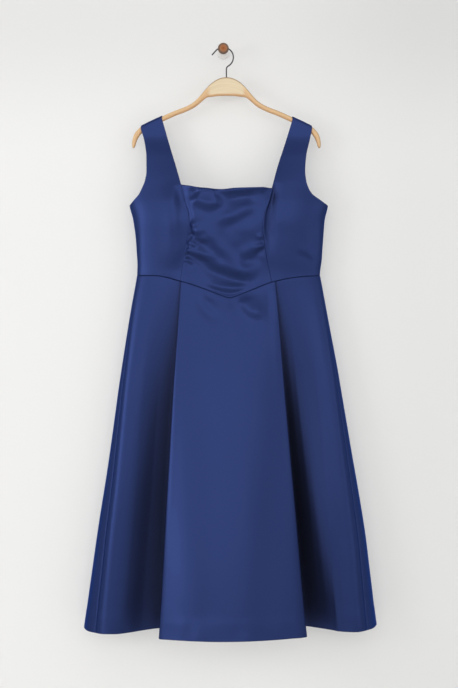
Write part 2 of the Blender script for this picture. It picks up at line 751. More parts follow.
SIDE_FOLDS = {
    (-1, "front"): (
        ("trough", -4.5, 10, 12, 0.25, 0.4,
         ((-114, -312), (-111, -360), (-108, -410), (-112, -475))),
        ("ridge", 3, 20, 26, 0.25, 0.25, ((-134, -300), (-122, -370), (-122, -440), (-126, -515))),
        ("ridge", 1, 14, 14, 0.3, 0.3, ((-206, -370), (-202, -440), (-204, -510))),
    ),
    (1, "front"): (
        ("trough", -9.5, 11, 12, 0.2, 0.45,
         ((103, -306), (97, -345), (92, -385), (89, -430), (92, -480))),
        ("trough", -1.6, 26, 30, 0.3, 0.4, ((128, -300), (120, -350), (112, -405), (112, -480))),
        ("trough", -1, 12, 9, 0.3, 0.3, ((196, -380), (192, -440), (200, -500))),
        ("lap", 0.9, 8, 8, 0.3, 0.4, ((150, -462), (178, -474), (206, -492))),
    ),
    (-1, "back"): (
        ("trough", -1.8, 9, 12, 0.25, 0.3, ((-118, -330), (-106, -400), (-112, -480))),
        ("ridge", 1, 15, 15, 0.3, 0.3, ((-160, -320), (-152, -450))),
    ),
    (1, "back"): (
        ("trough", -1.6, 9, 12, 0.25, 0.3, ((110, -335), (96, -400), (104, -470))),
        ("ridge", 1.1, 15, 18, 0.3, 0.3, ((150, -330), (140, -455))),
    ),
}

for side, word in SIDES:
    for face, way in ((-1, "front"), (1, "back")):
        points, u, v = side_panel(side, way == "front")
        if (side, way) == (-1, "front"):
            points = sink_seam(points)
        x, z = points[..., 0] - DRESS_X, points[..., 2]
        free = free_of_seams(u, 0.05) * smoothstep(0.0, 0.5, v)
        free *= smoothstep(LAST_ROW, LAST_ROW - 1.0, v)
        height = fold_height(x, z, SIDE_FOLDS[side, way]) + uneven(points, (45, 45, 90), 0.6, 2)
        points = raised(points, face, free * height)
        name, node = f"bodice_{way}_side_{word}", f"bodice_side_{way}_{word}"
        piece = shell(name, node, points, face, satin, rolls=(0.5, 0.5, 1.0, 0.8))

# %% [markdown]
# ## The centre back
#
# Two plain halves meet at a concealed zip. The back neckline dips a little lower than the front
# one. Nothing pulls on the back, so it stays almost smooth.

# %% The two halves of the centre back

BACK_NECK_DIP = 9.0

for side, word in SIDES:
    rows = side_heights(side, False)
    u, v = np.meshgrid(spread(100.0, 4.0), spread(190.0, 3.5))
    z = read_table(rows, 1, v * NECK_ROW["back"])
    x = edge_x(PRINCESS_SEAM, side, z) * (1.0 - u)
    z = z - v * BACK_NECK_DIP * np.sin(0.5 * math.pi * u) ** 2
    points = np.stack((DRESS_X + x, form_y(z, np.cos(turn_at(x, z)), False), z), axis=-1)
    free = free_of_seams(u, 0.05) * smoothstep(0.0, 0.05, v)
    points = raised(points, 1, free * uneven(points, (40, 40, 60), 0.7, 3))
    name, node = f"bodice_back_half_{word}", f"bodice_center_back_{word}"
    piece = shell(name, node, points, 1, satin, rolls=(1.6, 1.4, 2.0, 1.4))

# %% [markdown]
# ## The skirt
#
# The skirt is one ring of cloth that hangs from the waist seam, with a deep pleat on each side
# of the front panel. Every line of thread runs nearly straight from the waist to the hem, so
# the form is a ruled surface between a waist curve and a hem curve. We draw the two curves with
# the same number of points, smooth them together and join them. The ring is then cut at the
# side seams and the centre back.

# %% The pleats and sides of the skirt

# x of the folded edge at the waist, its x and y at the hem, the same of the inner fold, and the
# radius of the two folds at the hem
PLEATS = {
    ("front", -1): (-109, (-152, -157), -79, (-103, -70), 7, 5),
    ("front", 1): (107, (173, -137), 77, (118, -47), 7, 5),
    ("back", -1): (-100, (-146, -11), -74, (-100, -31), 2.4, 1.5),
    ("back", 1): (100, (154, -11), 74, (107, -28), 2.4, 1.5),
}
PLEAT_EDGE_R, PLEAT_INNER_R = 1.9, 0.6  # radius of the two folds at the waist
PANEL_BULGE = {"front": 57.0, "back": -5.0}  # of the centre panel's hem
CORNER_DROP = {"front": 4.0, "back": 0.0}  # how much lower its corners hang than its middle
CENTRE_COLUMNS = 14
SIDE_COLUMNS = 6
FOLD_STEPS = 7
SKIRT_LENGTH, SKIRT_SPACING = 805.0, 7.0  # from waist to hem, and of the rows of its grid

# column of the side panel above, how far the cloth is tucked in, x and y at the hem, its lift
SKIRT_SIDES = {
    ("front", -1): (
        (0.2, 5.1, -160, -76, 0), (1, 3, -196, -84, -3), (2, 1.4, -226, -96, -4.5),
        (3, 0.5, -251, -105, -5), (4, 0, -272, -108, -4.5), (5, 0, -289, -103, -5),
        (6, 0, -302, -92, -5),
    ),
    ("front", 1): (
        (0.3, 5.1, 178, -42, 0), (1, 3.5, 212, -42, 0), (2, 1.8, 236, -60, 0),
        (3, 0.8, 250, -87, 0), (4, 0.2, 271, -105, 0), (5, 0, 294, -106, 0),
        (6, 0, 313, -92, 1),
    ),
    ("back", -1): (
        (0.2, 5.1, -152, -22, 0), (1, 3, -182, -18, 0), (2, 1, -222, -12, 0),
        (3, 0, -264, -10, 1), (4, 0, -300, -14, 3), (4.8, 0, -323, -25, 3),
        (5.3, 0, -332, -46, 0.5), (5.7, 0, -323, -73, -4), (6, 0, -302, -92, -5),
    ),
    ("back", 1): (
        (0.2, 5.1, 158, -18, 0), (1, 3, 188, -15, 0), (2, 1, 230, -10, 0),
        (3, 0, 272, -10, 1), (4, 0, 307, -14, 4), (4.8, 0, 330, -25, 6),
        (5.3, 0, 339, -46, 6.5), (5.7, 0, 331, -73, 2), (6, 0, 313, -92, 1),
    ),
}

for (face, side), (_, edge, _, inner, _, _) in PLEATS.items():
    print(f"{face} pleat, side {side:+d}: tucks {math.dist(edge, inner):.0f} mm in at the hem")

# %% The ribs of the skirt


def fillet(before, corner, after, radius):
    """Points of an arc that rounds the corner between two straight runs of the hem."""
    corner = Vector(corner)
    back, ahead = (Vector(before) - corner).normalized(), (Vector(after) - corner).normalized()
    half = 0.5 * back.angle(ahead)
    centre = corner + (back + ahead).normalized() * (radius / math.sin(half))
    start = corner + back * (radius / math.tan(half)) - centre
    end = corner + ahead * (radius / math.tan(half)) - centre
    turn = start.angle_signed(end)
    points = []
    for k in range(FOLD_STEPS + 1):
        c, s = math.cos(turn * k / FOLD_STEPS), math.sin(-turn * k / FOLD_STEPS)
        points.append((centre.x + start.x * c - start.y * s, centre.y + start.x * s + start.y * c))
    return points


def rib(x, tuck, face, hem_x, hem_y, lift=0.0):
    """One row of six numbers: a point of the waist curve and the point of the hem below it."""
    z = float(waist_z(x, face == "front"))
    y = float(form_y(z, math.cos(turn_at(x, BACK_WAIST_Z)), face == "front"))
    y += tuck if face == "front" else -tuck
    return (DRESS_X + x, y, z, DRESS_X + hem_x, hem_y, HEM_Z + lift)


def hem_of_panel(face, share):
    """x and y of the centre panel's hem, from its left fold at -1 to its right fold at 1."""
    left, right = PLEATS[face, -1][1], PLEATS[face, 1][1]
    x, y = (mix(left[k], right[k], 0.5 * (share + 1.0)) for k in (0, 1))
    return x, y - PANEL_BULGE[face] * (1.0 - share * share)


def centre_ribs(face, places):
    left, right = PLEATS[face, -1][0], PLEATS[face, 1][0]
    ribs = []
    for x in places:
        share = 2.0 * (x - left) / (right - left) - 1.0
        ribs.append(rib(x, 0.0, face, *hem_of_panel(face, share), -CORNER_DROP[face] * share**2))
    return ribs


def pleat_ribs(face, side):
    """The folded edge, the layer under it and the inner fold, from the centre outwards."""
    edge_waist_x, edge_hem, inner_waist_x, inner_hem, edge_r, inner_r = PLEATS[face, side]
    next_hem = SKIRT_SIDES[face, side][0][2:4]
    edge_arc = fillet(hem_of_panel(face, 0.9 * side), edge_hem, inner_hem, edge_r)
    inner_arc = fillet(edge_hem, inner_hem, next_hem, inner_r)
    edge_ribs, inner_ribs = [], []
    for k in range(FOLD_STEPS + 1):
        angle = math.pi * (k / FOLD_STEPS - 0.5)
        c, s = math.cos(angle), math.sin(angle)
        x = edge_waist_x + side * PLEAT_EDGE_R * (c - 1.0)
        edge_ribs.append(rib(x, PLEAT_EDGE_R * (1.0 + s), face, *edge_arc[k], -CORNER_DROP[face]))
        x = inner_waist_x + side * PLEAT_INNER_R * (1.0 - c)
        inner_ribs.append(rib(x, 2 * PLEAT_EDGE_R + PLEAT_INNER_R * (1.0 + s), face, *inner_arc[k]))
    half_hem = [0.5 * (a + b) for a, b in zip(edge_arc[-1], inner_arc[0])]
    layer = rib(0.5 * (edge_waist_x + inner_waist_x), 2 * PLEAT_EDGE_R, face, *half_hem)
    return edge_ribs + [layer] + inner_ribs


def side_ribs(face, side):
    foot = princess_foot(side, face == "front")[0]
    sway, half_width = float(section(2, BACK_WAIST_Z)), float(section(1, BACK_WAIST_Z))
    ribs = []
    for column, tuck, hem_x, hem_y, lift in SKIRT_SIDES[face, side]:
        turn = mix(float(turn_at(foot, BACK_WAIST_Z)), math.pi / 2, column / SIDE_COLUMNS)
        x = sway + side * half_width * math.sin(turn) ** (2 / LENS_POWER)
        ribs.append(rib(x, tuck, face, hem_x, hem_y, lift))
    return ribs


print("a pleat has", len(pleat_ribs("front", 1)), "ribs, a side", len(side_ribs("front", 1)))

# %% From ribs to the two curves

feet = [princess_foot(side, True)[0] for side, _ in SIDES]
columns = [mix(feet[0], feet[1], k / CENTRE_COLUMNS) for k in range(1, CENTRE_COLUMNS)]
ring = side_ribs("front", -1)[::-1] + pleat_ribs("front", -1)[::-1] + centre_ribs("front", columns)
ring += pleat_ribs("front", 1) + side_ribs("front", 1)
right_seam = len(ring) - 1
ring += side_ribs("back", 1)[-2::-1] + pleat_ribs("back", 1)[::-1]
ring += centre_ribs("back", (80.0, 54.0, 27.0, 0.0))
back_seam = len(ring) - 1
ring += centre_ribs("back", (-27.0, -54.0, -80.0))
ring += pleat_ribs("back", -1) + side_ribs("back", -1)[:-1]
curves, knots = smooth_line(ring, closed=True, spacing=5.0)
in_front = np.arange(len(curves)) <= knots[right_seam]
curves[in_front, 2] = waist_z(curves[in_front, 0] - DRESS_X, True)
knots.append(len(curves))
print(len(ring), "ribs, smoothed to", len(curves))

# %% [markdown]
# ## How the cloth leaves the straight line
#
# A ruled surface is too stiff to be cloth. Halfway down, the pleats hollow in and the sides stand
# out a little. The right pleat comes forward towards the hem, so that it rises evenly and not in
# one steep step, and the front panel's folded edges swing outwards. Each of these is a table that
# is read at the cloth's place in the ring or at its share of the way down.

# %% Hollows, fill and bow

# column of the front's side panel, how far it hollows in halfway down on the left and the right
PLEAT_HOLLOW = (
    (0, 19, 12), (1, 15, 0), (2, 8.5, 0), (3, 3, 0), (4, 1, 0), (6, 0, 0),
)
HOLLOW_FULL = 0.45  # share of the way down where the hollow is full
HOLLOW_AT_HEM = 0.45  # share of it that is left at the hem

# column of the front's right side panel, how far its steep part comes forward near the hem
SLOPE_FILL = (
    (-1, 0), (0, -9), (1, -28), (1.5, -31), (2, -28.5), (2.5, -21.5), (3, -12.5),
    (3.5, -5.5), (4, -1), (5, 0),
)

# share of the way down, how far the left and the right side stand out
SIDE_BOW = (
    (0, 0, 0), (0.08, 3, 2.4), (0.16, 3.9, 4.4), (0.3, 4.3, 7.4), (0.45, 3, 7.4),
    (0.6, 1.7, 8.2), (0.72, 2.2, 8.5), (0.86, 0.6, 4.6), (1, -1.4, -0.7),
)

# z, x of the left and the right folded edge of the front panel
PANEL_FOLDS = (
    (-1325, -152, 174), (-555, -110, 107),
)
# share of the way down, how far the left and the right one move to the right
FOLD_SHIFT = (
    (0, 0, 0), (0.15, -1.5, 0), (0.35, -3.8, 0.2), (0.7, -4.2, 1.2), (1, -4.2, 2.4),
)
FOLD_REACH = 55.0  # how far around an edge the cloth moves with it

ring_place = np.interp(np.arange(len(curves)), knots, np.arange(len(ring) + 1))
hollow_rows = [(len(ring), 0.0)]
for side, seam, column in ((-1, 0, 1), (1, right_seam, 2)):
    deepest = PLEAT_HOLLOW[0][column]
    for k in np.arange(0.0, SIDE_COLUMNS + 0.1, 0.5):
        hollow_rows.append((seam - side * (SIDE_COLUMNS - k), read_table(PLEAT_HOLLOW, column, k)))
    inner_fold = seam - side * (SIDE_COLUMNS + 1)
    hollow_rows += [(inner_fold - side * k, deepest) for k in range(FOLD_STEPS + 1)]
    hollow_rows.append((inner_fold - side * (FOLD_STEPS + 1), deepest / 2))
    hollow_rows.append((inner_fold - side * (FOLD_STEPS + 2), 0.0))
hollow = np.interp(ring_place, *np.array(sorted(hollow_rows)).T)
side_column = ring_place - (right_seam - SIDE_COLUMNS)
fill = np.where(ring_place <= right_seam, read_table(SLOPE_FILL, 1, side_column), 0.0)
out = curves[:, 3] - DRESS_X
on_the_left = out < 0.0
bow_share = smoothstep(215.0, 300.0, np.abs(out)) * np.sign(out)
print(f"hollow up to {hollow.max():.1f} mm, fill up to {-fill.min():.1f} mm")


def bent(points, down, which):
    """Points of the ruled surface, hollowed, filled, bowed and shifted as the tables say."""
    points[..., 1] += hollow[which] * smoothstep(0.0, HOLLOW_FULL, down) * mix(
        HOLLOW_AT_HEM, 1.0, smoothstep(1.0, 0.6, down)
    )
    points[..., 1] += fill[which] * smoothstep(0.25, 0.8, down)
    bow = np.where(on_the_left[which], read_table(SIDE_BOW, 1, down), read_table(SIDE_BOW, 2, down))
    points[..., 0] += bow * bow_share[which]
    for column in (1, 2):
        away = points[..., 0] - DRESS_X - read_table(PANEL_FOLDS, column, points[..., 2])
        points[..., 0] += read_table(FOLD_SHIFT, column, down) * np.exp(-((away / FOLD_REACH) ** 2))
    return points


# %% [markdown]
# ## Life in the skirt
#
# Three more things soften it: small dents where the waist seam pulls at the panel, long shallow
# waves that grow towards the hem, and a hem that ripples a little and shows the soft edge of its
# turning, a hand's breadth above the fold.

# %% Folds of the skirt and its three pieces

WAIST_DENTS = (
    ("lap", 1.5, 5, 7, 0.3, 0.4, ((-58, -555), (-44, -562), (-30, -570))),
    ("lap", 1.5, 8, 10, 0.3, 0.5, ((-66, -560), (-54, -586), (-34, -606), (-10, -616))),
    ("ledge", 5.4, 8, 10, 0.2, 0.3, ((22, -566), (30, -592), (50, -611), (92, -614))),
    ("ridge", 0.9, 10, 18, 0.2, 0.5, ((0, -580), (6, -620), (10, -700))),
    ("trough", -1.2, 9, 16, 0.1, 0.4, ((88, -550), (96, -580), (102, -650))),
)
LONG_WAVES = (
    ("ridge", 0.5, 30, 60, 0.4, 0, ((-60, -640), (-70, -900), (-92, -1325))),
    ("trough", -0.4, 30, 60, 0.4, 0, ((10, -700), (14, -950), (20, -1325))),
    ("ridge", 0.4, 26, 46, 0.4, 0, ((104, -660), (124, -950), (156, -1325))),
    ("ridge", 0.9, 14, 20, 0.3, 0, ((-176, -560), (-205, -900), (-236, -1325))),
    ("trough", -0.8, 12, 20, 0.3, 0, ((-190, -560), (-228, -900), (-270, -1325))),
    ("ridge", 0.8, 12, 18, 0.3, 0, ((170, -560), (214, -900), (262, -1325))),
)
HEM_TURNING = 42.0
TURNING_STEP = 0.5
RIPPLE_START, RIPPLE_FULL = 90.0, 10.0  # above the hem
SEAM_OVERLAP = 0.6  # closes the waist seam's gap, which the wall would shine through


def skirt_piece(name, node, first, last, face):
    """The ring from one seam to the next, as a shell."""
    which = np.arange(knots[first], knots[last] + 1) % len(curves)
    picked = curves[which]
    down = spread(SKIRT_LENGTH, SKIRT_SPACING)[:, None]
    points = bent(mix(picked[None, :, :3], picked[None, :, 3:], down[..., None]), down, which)
    points[..., 2] += SEAM_OVERLAP * smoothstep(0.01, 0.0, down)
    normal = normals_of(points, face)
    x, z = points[..., 0] - DRESS_X, points[..., 2]
    height = uneven(points, (70, 70, 190), 1.1, 4)
    if face < 0:
        flat_front = np.clip(-normal[..., 1], 0.0, 1.0) ** 2
        height += flat_front * fold_height(x, z, WAIST_DENTS + LONG_WAVES)
    over_hem = z - picked[:, 5]
    height += uneven(points, (34, 34, 60), 1.5, 5) * smoothstep(RIPPLE_START, RIPPLE_FULL, over_hem)
    height += TURNING_STEP * smoothstep(HEM_TURNING + 5.0, HEM_TURNING - 3.0, over_hem)
    points = points + normal * (smoothstep(0.0, 0.03, down) * height)[..., None]
    return shell(name, node, points, face, satin, rolls=(0.4, 0.4, 2.4, 0.9))


piece = skirt_piece("skirt_front_panel", "skirt_front", 0, right_seam, -1)
piece = skirt_piece("skirt_back_half_right", "skirt_back_right", right_seam, back_seam, 1)
piece = skirt_piece("skirt_back_half_left", "skirt_back_left", back_seam, len(ring), 1)

# %% [markdown]
# ## The wooden hanger
#
# A shaped hanger is cut from a board: a tall flat crown in the middle, and two arms that are
# rounded off so that they don't mark the cloth. Its section changes all along, from a box to
# an oval, and turns with the arm. Extruding and scaling one section can't change a box into an
# oval, so we sweep a superellipse whose power is one column of the table. Two attributes say
# how high on the section a point is, and how far the pale sanded face of the crown reaches.

# %% The sections of the hanger

# out from the middle, height from the crown's top, half height, half depth, lean, power
HANGER_RINGS = (
    (0, -21, 21, 6, 0, 6), (11, -21.7, 20.4, 6, 0, 6), (21, -23.8, 18.8, 6, 0, 6),
    (31, -27.6, 16.4, 6, 0, 6), (39.5, -31.7, 13.2, 6, 0, 5.5),
    (46.5, -36.8, 9.6, 6.2, -6, 5), (52, -42.4, 7.2, 6.4, -24, 4),
    (60, -50.5, 6, 6.5, -42, 3), (73, -62, 5.7, 6.5, -37, 2.6),
    (90, -71.5, 5.6, 6.5, -26, 2.5), (118, -82.5, 5.6, 6.5, -22, 2.5),
    (150, -97, 5.7, 6.5, -25, 2.5), (180, -111.5, 5.8, 6.5, -27, 2.5),
    (196, -121, 6.3, 6.5, -38, 2.5), (206, -133, 6.2, 6.5, -60, 2.6),
    (211, -145.5, 5.2, 6.2, -75, 2.6), (213, -156, 4, 5.6, -80, 2.6),
    (213.6, -161, 2.4, 4, -84, 2.4), (213.7, -162, 1.5, 2.6, -84, 2.2),
    (213.7, -162.4, 0.5, 0.9, -84, 2),
)
HANGER_SIDES = 36
THINNEST = 0.3  # half height and depth where the tip closes
PALE_TOP, PALE_LOW = 3.2, 4.6  # darker margins over and under the crown's pale face
PALE_END = (34.0, 46.0)  # where the pale face ends, out from the middle
RIM_END = (40.0, 60.0)  # where the dark upper rim fades to what it is on the arms
RIM_ON_ARMS = {-1: 0.1, 1: 0.6}
FACE_TO_EDGE = 9.0  # grain's length from the middle of the face round to the edge


def hanger_section(row, side):
    """Points of one section, with the height and the depth of each as a share of its own."""
    out, drop, half_height, half_depth, lean, power = row
    angle = np.linspace(0.0, 2.0 * math.pi, HANGER_SIDES, endpoint=False)
    c, s = np.cos(angle), np.sin(angle)
    forward = np.sign(c) * np.abs(c) ** (2.0 / power)
    upward = np.sign(s) * np.abs(s) ** (2.0 / power)
    rise = half_height * upward
    x = HANGER_X + side * (out - rise * math.sin(math.radians(lean)))
    z = CROWN_Z + drop + rise * math.cos(math.radians(lean))
    return np.stack((x, HANGER_Y + half_depth * forward, z), axis=-1), upward, forward


def hanger_marks(row, side):
    """How pale the face is, and how dark the upper rim, at the points of one section."""
    out, half_height = row[0], row[2]
    _, upward, forward = hanger_section(row, side)
    rise = half_height * upward
    face = smoothstep(half_height, half_height - PALE_TOP, rise)
    face *= smoothstep(-half_height + PALE_LOW - 1.2, -half_height + PALE_LOW, rise)
    face *= smoothstep(PALE_END[1], PALE_END[0], out) * smoothstep(0.55, 0.8, np.abs(forward))
    edge = smoothstep(half_height - PALE_TOP, half_height - 0.55 * PALE_TOP, rise)
    return face, edge * mix(RIM_ON_ARMS[side], 1.0, smoothstep(RIM_END[1], RIM_END[0], out))


print("each arm has", len(HANGER_RINGS), "sections and reaches", HANGER_RINGS[-1][0], "mm out")

# %% Sweep the sections along the arms


def turn_outwards(angle):
    """Turns the open piece's faces outwards, closes it and smooths it up to an angle."""
    bpy.ops.mesh.select_all(action="SELECT")
    bpy.ops.mesh.normals_make_consistent(inside=False)
    bpy.ops.object.mode_set(mode="OBJECT")
    bpy.ops.object.shade_smooth_by_angle(angle=math.radians(angle))


def make_hanger(material):
    arm = smooth_line(HANGER_RINGS, spacing=2.6, measure=slice(0, 2))[0]
    arm[:, 2:4] = np.maximum(arm[:, 2:4], THINNEST)
    along = np.concatenate(([0.0], np.cumsum(np.linalg.norm(np.diff(arm[:, :2], axis=0), axis=1))))
    points, flat = [], []
    marks = {"tone": [], "pale": [], "rim": []}
    for side, order in ((-1, range(len(arm) - 1, 0, -1)), (1, range(len(arm)))):
        for k in order:
            section_points, upward, forward = hanger_section(arm[k], side)
            points.append(section_points)
            around = arm[k, 2] * upward + FACE_TO_EDGE * forward
            flat.append(np.stack((np.full(HANGER_SIDES, side * along[k]), around), axis=-1))
            for values, value in zip(marks.values(), (upward, *hanger_marks(arm[k], side))):
                values.append(value)
    number = np.arange(len(points) * HANGER_SIDES).reshape(-1, HANGER_SIDES)
    after = np.roll(number, -1, axis=1)
    quads = np.stack((number[:-1], after[:-1], after[1:], number[1:]), axis=-1)
    faces = quads.reshape(-1, 4).tolist() + [number[0, ::-1].tolist(), number[-1].tolist()]
    corners, flat = (np.array(rows).reshape(number.size, -1) for rows in (points, flat))
    hanger = new_piece("hanger", corners, faces, "grain", flat, material)
    for name, values in marks.items():
        layer = hanger.data.attributes.new(name, "FLOAT", "POINT")
        layer.data.foreach_set("value", np.array(values, np.float32).ravel())
    bpy.ops.object.select_all(action="DESELECT")
    hanger.select_set(True)
    bpy.context.view_layer.objects.active = hanger
    bpy.ops.object.mode_set(mode="EDIT")
    turn_outwards(50.0)
    return hanger


# %% The hanger's lacquered wood

ARM_LOW, ARM_HIGH = (0.600, 0.345, 0.165), (0.735, 0.500, 0.265)
CROWN_DARK, CROWN_LIGHT = (0.680, 0.535, 0.345), (0.765, 0.650, 0.445)
RIM_BROWN = (0.350, 0.210, 0.100)


def make_hanger_wood():
    """Clear lacquered beech: pale on the sanded face, browner where it is rounded off."""
    material, tree, shader = new_material("lacquered_wood")
    flat = flat_place(tree, "grain")
    tone, pale, rim = (
        add_node(tree, "Attribute", attribute_name=name).outputs["Fac"]
        for name in ("tone", "pale", "rim")
    )
    broad = spots(tree, flat, (9.0, 260.0, 1.0), 3.0)
    fine = spots(tree, flat, (60.0, 2600.0, 1.0), 4.0)
    arm = mix_colors(tree, ranged(tree, tone, 0.0, 1.0, -0.9, 0.7), ARM_LOW, ARM_HIGH)
    crown = mix_colors(tree, broad, CROWN_DARK, CROWN_LIGHT)
    color = mix_colors(tree, rim, mix_colors(tree, pale, arm, crown), RIM_BROWN)
    color = mix_colors(tree, 0.30, color, broad, "SOFT_LIGHT")
    color = mix_colors(tree, 0.22, color, fine, "SOFT_LIGHT")
    inputs = {
        "Base Color": color,
        "Roughness": ranged(tree, fine, 0.36, 0.52),
        "Coat Weight": 0.15,
        "Coat Roughness": 0.25,
    }
    finish(tree, shader, inputs, fine, 0.15)
    return material


hanger = make_hanger(make_hanger_wood())
hand_over(hanger, "dress", "hanger_body")
print("hanger:", len(hanger.data.polygons), "faces")

# %% [markdown]
# ## Shaping hard pieces by hand
#
# The hook and the peg are shaped in edit mode, as one would by hand. A circle is added at its
# place, and its selected end is then extruded, moved, scaled or spun again and again. Each move
# names its own centre, because without a window there is no pivot to rely on.

# %% Moves for hard pieces


def open_piece(name):
    """An empty mesh at the origin, open for editing, so that its primitives stay in place."""
    bpy.ops.object.select_all(action="DESELECT")
    piece = bpy.data.objects.new(name, bpy.data.meshes.new(name))
    bpy.context.scene.collection.objects.link(piece)
    bpy.context.view_layer.objects.active = piece
    piece.select_set(True)
    bpy.ops.object.mode_set(mode="EDIT")
    bpy.ops.mesh.select_mode(type="VERT")
    return piece


def pull_end(move, scale=(1.0, 1.0, 1.0), centre=(0.0, 0.0, 0.0)):
    """Extrudes what is selected by a move, then scales it about a centre. All in millimetres."""
    bpy.ops.mesh.extrude_region_move(TRANSFORM_OT_translate={"value": tuple(Vector(move) * MM)})
    if tuple(scale) != (1.0, 1.0, 1.0):
        bpy.ops.transform.resize(value=scale, center_override=tuple(Vector(centre) * MM))


def select_near(piece, test):
    """In edit mode, selects the vertices whose place, in millimetres, passes the test."""
    bpy.ops.mesh.select_all(action="DESELECT")
    bpy.ops.object.mode_set(mode="OBJECT")
    for vertex in piece.data.vertices:
        vertex.select = bool(test(vertex.co / MM))
    bpy.ops.object.mode_set(mode="EDIT")


def close_piece(piece, material, body, node, angle=40.0):
    """Merges doubled points, closes the piece and hands it to the frame."""
    bpy.ops.mesh.select_all(action="SELECT")
    bpy.ops.mesh.remove_doubles(threshold=0.00001)
    turn_outwards(angle)
    piece.data.materials.append(material)
    hand_over(piece, body, node)
    print(f"{piece.name}: {len(piece.data.polygons)} faces, {size_of(node)} mm")


# %% [markdown]
# ## The hook
#
# The hook is plated wire, bent once into an S and once into a wide arc. The wire is a circle that
# goes up from the crown, is spun round the two centres of its bends and ends in a short straight
# tip. Plated wire is a mirror with faint marks along it, so it shows the dark room and the pale
# wall side by side: a thin dark line with a bright one next to it.

# %% Bend the wire

WIRE_R = 1.75
HOOK_R = 23.0  # of the wide arc, whose centre is over the mount
HOOK_MIDDLE_Z = -18.2
HOOK_S_R = 8.0
HOOK_TIP_ANGLE = 138.0  # where the arc ends, from the right
HOOK_TIP = 13.0  # length of the straight tip
TIP_ROUNDING = (0.3, 0.6, 0.85, 0.97)  # shares of its radius at which the tip narrows
TIP_STRETCH = 0.6
FOOT_GAP = 0.3  # between the wire and the crown
WIRE_DARK, WIRE_PALE = (0.065, 0.065, 0.07), (0.62, 0.62, 0.63)


def make_wire():
    material, tree, shader = new_material("plated_wire")
    place = object_place(tree)
    drawn = spots(tree, place, (2600.0, 2600.0, 300.0), 2.0)
    cloud = spots(tree, place, 160.0, 3.0)
    tone = mix_colors(tree, cloud, tuple(0.82 * c for c in WIRE_DARK), WIRE_DARK)
    facing = add_node(tree, "LayerWeight", {"Blend": 0.5}).outputs["Facing"]
    tone = mix_colors(tree, ranged(tree, facing, 0.0, 1.0, 0.14, 0.6), tone, WIRE_PALE)
    inputs = {"Base Color": tone, "Roughness": ranged(tree, drawn, 0.16, 0.30), "Metallic": 1.0}
    finish(tree, shader, inputs, drawn, 0.05, 0.1)
    return material


def spin_end(centre_x, centre_z, degrees, steps):
    """Spins the selected end of the wire in the hanger's plane, left round for positive degrees."""
    centre = (centre_x * MM, HANGER_Y * MM, centre_z * MM)
    bpy.ops.mesh.spin(steps=steps, angle=math.radians(degrees), center=centre, axis=(0.0, 1.0, 0.0))


hook = open_piece("hook")
foot = Vector((HANGER_X, HANGER_Y, CROWN_Z + FOOT_GAP))
bpy.ops.mesh.primitive_circle_add(
    vertices=20, radius=WIRE_R * MM, fill_type="NGON", location=foot * MM
)
neck = math.acos((HANGER_X + HOOK_S_R) / (HOOK_R + HOOK_S_R))
s_z = HOOK_MIDDLE_Z - (HOOK_R + HOOK_S_R) * math.sin(neck)
pull_end((0.0, 0.0, s_z - foot.z))
spin_end(HANGER_X + HOOK_S_R, s_z, -math.degrees(neck), 14)
spin_end(0.0, HOOK_MIDDLE_Z, HOOK_TIP_ANGLE + math.degrees(neck), 60)
turn = math.radians(HOOK_TIP_ANGLE)
ahead = Vector((-math.sin(turn), 0.0, math.cos(turn)))
end = Vector((HOOK_R * math.cos(turn), HANGER_Y, HOOK_MIDDLE_Z + HOOK_R * math.sin(turn)))
pull_end(ahead * HOOK_TIP)
end += ahead * HOOK_TIP
width, reached = 1.0, 0.0
for share in TIP_ROUNDING:
    step = WIRE_R * (share - reached) * TIP_STRETCH
    new_width = math.sqrt(1.0 - share * share)
    end += ahead * step
    pull_end(ahead * step, (new_width / width,) * 3, end)
    width, reached = new_width, share
close_piece(hook, make_wire(), "dress", "hanger_hook")

# %% [markdown]
# ## The wall peg
#
# The peg is turned: a white painted foot on the wall with a thin neck, and a cap of oiled brown
# wood with a dished face. Each is a circle that is extruded along its axis and scaled to
# the next radius of a short profile. The end grain of the cap shows as rings, and the oil has
# darkened its rim.

# %% The profiles of the peg

# distance from the wall along the peg, radius
PEG_FOOT = (
    (0, 14), (-2.6, 14), (-3.6, 13.8), (-4.4, 13.3), (-5, 12.2), (-5.3, 10.6), (-5.4, 4.8),
    (-5.8, 3.9), (-6.5, 3.3), (-8, 2.85), (-46, 2.8),
)
PEG_CAP = (
    (-46.3, 10.8), (-46.5, 11.6), (-47.2, 12.3), (-48.5, 12.5), (-54.5, 12.5),
    (-56.4, 12.1), (-57.5, 11.2), (-58, 9.8), (-57.9, 8.9), (-57.1, 8), (-57, 7.4),
    (-57.5, 6.4), (-57.6, 4.5), (-57.3, 2.6), (-56.7, 1.6), (-56.6, 0.9),
)


def turn_piece(name, profile, material, node):
    piece = open_piece(name)
    y, radius = profile[0]
    bpy.ops.mesh.primitive_circle_add(
        vertices=64,
        radius=radius * MM,
        fill_type="NGON",
        location=(0.0, y * MM, 0.0),
        rotation=(math.pi / 2, 0.0, 0.0),
    )
    for next_y, next_radius in profile[1:]:
        size = next_radius / radius
        pull_end((0.0, next_y - y, 0.0), (size, 1.0, size), (0.0, next_y, 0.0))
        y, radius = next_y, next_radius
    close_piece(piece, material, "dress", node, angle=30.0)


print("the peg is", -min(y for y, _ in PEG_CAP), "mm long")

# %% White paint and oiled wood


def make_peg_paint():
    material, tree, shader = new_material("white_peg_paint")
    place = object_place(tree)
    cloud = spots(tree, place, 90.0, 3.0)
    color = mix_colors(tree, cloud, (0.76, 0.745, 0.73), (0.80, 0.79, 0.78))
    inputs = {"Base Color": color, "Roughness": ranged(tree, cloud, 0.32, 0.46)}
    finish(tree, shader, inputs, spots(tree, place, 700.0, 2.0), 0.12)
    return material


